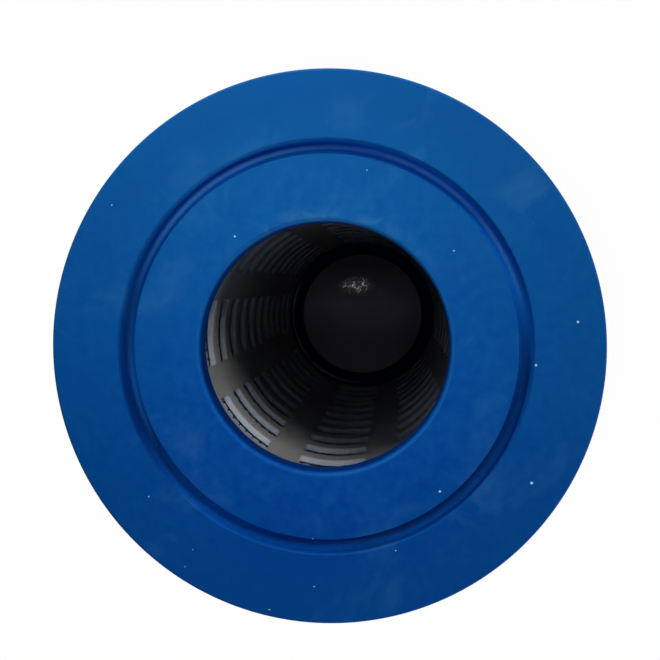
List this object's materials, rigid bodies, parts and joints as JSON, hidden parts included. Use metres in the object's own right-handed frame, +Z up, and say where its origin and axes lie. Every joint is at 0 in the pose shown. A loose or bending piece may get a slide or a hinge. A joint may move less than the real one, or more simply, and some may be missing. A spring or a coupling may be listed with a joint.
{
  "type": "pleated filter cartridge",
  "caption": "Open-ended pleated filter cartridge: two moulded end caps, a windowed core tube, a pleated fabric pack and retaining bands.",
  "frame": {"origin": "centre of the lower end cap's resting face", "axes": "+Z up along the cartridge's axis; +X through the middle of a column of core windows and through the seam of the fabric"},
  "size_m": [0.1254, 0.1254, 0.235],
  "materials": {
    "cap_polyurethane": "satin moulded polyurethane",
    "core_plastic": "satin moulded plastic, light warm grey",
    "filter_fabric": "calendered spunbond polyester",
    "seam_glue": "hot-melt glue",
    "band_webbing": "flat spunbond strap, lap welded"
  },
  "bodies": {
    "root": {"upper_end_cap": "cap_polyurethane", "lower_end_cap": "cap_polyurethane", "core_tube": "core_plastic", "pleated_media": "filter_fabric", "seam_bead": "seam_glue", "retaining_band_1": "band_webbing", "retaining_band_2": "band_webbing"}
  },
  "joints": []
}
